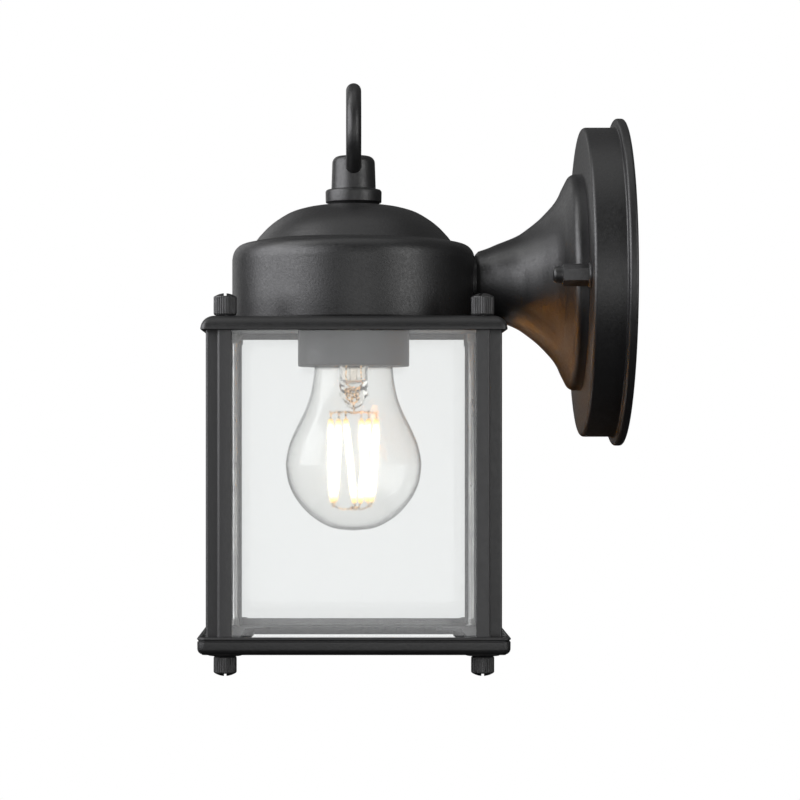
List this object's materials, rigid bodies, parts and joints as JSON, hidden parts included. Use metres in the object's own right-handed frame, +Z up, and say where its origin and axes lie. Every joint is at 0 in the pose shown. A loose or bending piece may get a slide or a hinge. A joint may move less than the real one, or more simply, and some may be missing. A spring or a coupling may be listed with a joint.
{
  "type": "outdoor wall lantern",
  "caption": "Outdoor wall lantern: square glazed cage with domed roof cap and hanging ring on a trumpet arm from a round wall canopy, with a screw-in lamp.",
  "frame": {"origin": "centre of the back of the mounting crossbar and canopy, on the wall plane, on the arm's axis", "axes": "+X into the wall, +Z up, +Y to the side; seen from -Y the wall is on the right"},
  "size_m": [0.1866, 0.146, 0.2604],
  "materials": {
    "black_paint": "textured matte black powder coat",
    "steel": "zinc plated",
    "brass": "plain",
    "porcelain": "glazed porcelain",
    "lamp_black_glass": "glossy",
    "clear_glass": "clear, bevelled edge",
    "lamp_clear_glass": "clear blown",
    "foam": "closed-cell foam",
    "black_wire": "insulated lead",
    "white_wire": "insulated lead",
    "bare_copper": "bare wire",
    "green_steel": "green passivated",
    "orange_plastic": "moulded, ribbed",
    "phosphor": "glowing filament coating"
  },
  "bodies": {
    "lantern": {"canopy_pan": "black_paint", "trumpet_arm": "black_paint", "roof_cap": "black_paint", "finial_hub": "black_paint", "top_plate": "black_paint", "bottom_frame": "black_paint", "socket_cup": "black_paint", "corner_post_back_wall": "black_paint", "corner_rod_back_wall": "steel", "corner_post_back_outer": "black_paint", "corner_rod_back_outer": "steel", "corner_post_front_outer": "black_paint", "corner_rod_front_outer": "steel", "corner_post_front_wall": "black_paint", "corner_rod_front_wall": "steel", "crossbar": "steel", "canopy_stud_front": "steel", "canopy_stud_back": "steel", "tie_nipple": "steel", "socket_strap": "steel", "tie_nut_cap": "brass", "tie_nut_canopy": "brass", "finial_lock_nut": "brass", "socket_shell": "brass", "socket_contact": "brass", "wall_gasket": "foam", "ground_screw": "green_steel", "lead_hot": "black_wire", "lead_neutral": "white_wire", "lead_ground": "bare_copper", "wire_nut_hot": "orange_plastic", "wire_nut_neutral": "orange_plastic", "socket_insulator": "porcelain", "glass_wall": "clear_glass", "glass_back": "clear_glass", "glass_outer": "clear_glass", "glass_front": "clear_glass"},
    "ring": {"hanging_ring": "black_paint"},
    "lamp": {"lamp_glass": "lamp_clear_glass", "lamp_base": "steel", "lamp_insulator": "lamp_black_glass", "lamp_contact": "steel", "lamp_stem": "lamp_clear_glass", "lamp_wires": "steel", "filament_pair_1": "phosphor", "filament_pair_2": "phosphor", "filament_pair_3": "phosphor"},
    "acorn_front": {"acorn_nut_front": "black_paint"},
    "acorn_back": {"acorn_nut_back": "black_paint"},
    "top_cap_back_wall": {"top_nut_back_wall": "black_paint"},
    "bottom_cap_back_wall": {"bottom_nut_back_wall": "black_paint"},
    "top_cap_back_outer": {"top_nut_back_outer": "black_paint"},
    "bottom_cap_back_outer": {"bottom_nut_back_outer": "black_paint"},
    "top_cap_front_outer": {"top_nut_front_outer": "black_paint"},
    "bottom_cap_front_outer": {"bottom_nut_front_outer": "black_paint"},
    "top_cap_front_wall": {"top_nut_front_wall": "black_paint"},
    "bottom_cap_front_wall": {"bottom_nut_front_wall": "black_paint"}
  },
  "joints": [
    {"name": "ring_swing", "type": "hinge", "parent": "lantern", "child": "ring", "pos_m": [-0.12, 0, 0.0516], "axis": [0, 1, 0], "range_deg": [-110, 110]},
    {"name": "lamp_withdraw", "type": "slide", "parent": "lantern", "child": "lamp", "axis": [0, 0, -1], "range_m": [0, 0.17]},
    {"name": "acorn_front_turn", "type": "hinge", "parent": "lantern", "child": "acorn_front", "pos_m": [-0.026, -0.056, 0], "axis": [1, 0, 0], "continuous": true},
    {"name": "acorn_back_turn", "type": "hinge", "parent": "lantern", "child": "acorn_back", "pos_m": [-0.026, 0.056, 0], "axis": [1, 0, 0], "continuous": true},
    {"name": "top_cap_back_wall_turn", "type": "hinge", "parent": "lantern", "child": "top_cap_back_wall", "pos_m": [-0.065, 0.055, -0.0125], "axis": [0, 0, 1], "continuous": true},
    {"name": "bottom_cap_back_wall_turn", "type": "hinge", "parent": "lantern", "child": "bottom_cap_back_wall", "pos_m": [-0.065, 0.055, -0.167], "axis": [0, 0, 1], "continuous": true},
    {"name": "top_cap_back_outer_turn", "type": "hinge", "parent": "lantern", "child": "top_cap_back_outer", "pos_m": [-0.175, 0.055, -0.0125], "axis": [0, 0, 1], "continuous": true},
    {"name": "bottom_cap_back_outer_turn", "type": "hinge", "parent": "lantern", "child": "bottom_cap_back_outer", "pos_m": [-0.175, 0.055, -0.167], "axis": [0, 0, 1], "continuous": true},
    {"name": "top_cap_front_outer_turn", "type": "hinge", "parent": "lantern", "child": "top_cap_front_outer", "pos_m": [-0.175, -0.055, -0.0125], "axis": [0, 0, 1], "continuous": true},
    {"name": "bottom_cap_front_outer_turn", "type": "hinge", "parent": "lantern", "child": "bottom_cap_front_outer", "pos_m": [-0.175, -0.055, -0.167], "axis": [0, 0, 1], "continuous": true},
    {"name": "top_cap_front_wall_turn", "type": "hinge", "parent": "lantern", "child": "top_cap_front_wall", "pos_m": [-0.065, -0.055, -0.0125], "axis": [0, 0, 1], "continuous": true},
    {"name": "bottom_cap_front_wall_turn", "type": "hinge", "parent": "lantern", "child": "bottom_cap_front_wall", "pos_m": [-0.065, -0.055, -0.167], "axis": [0, 0, 1], "continuous": true}
  ]
}
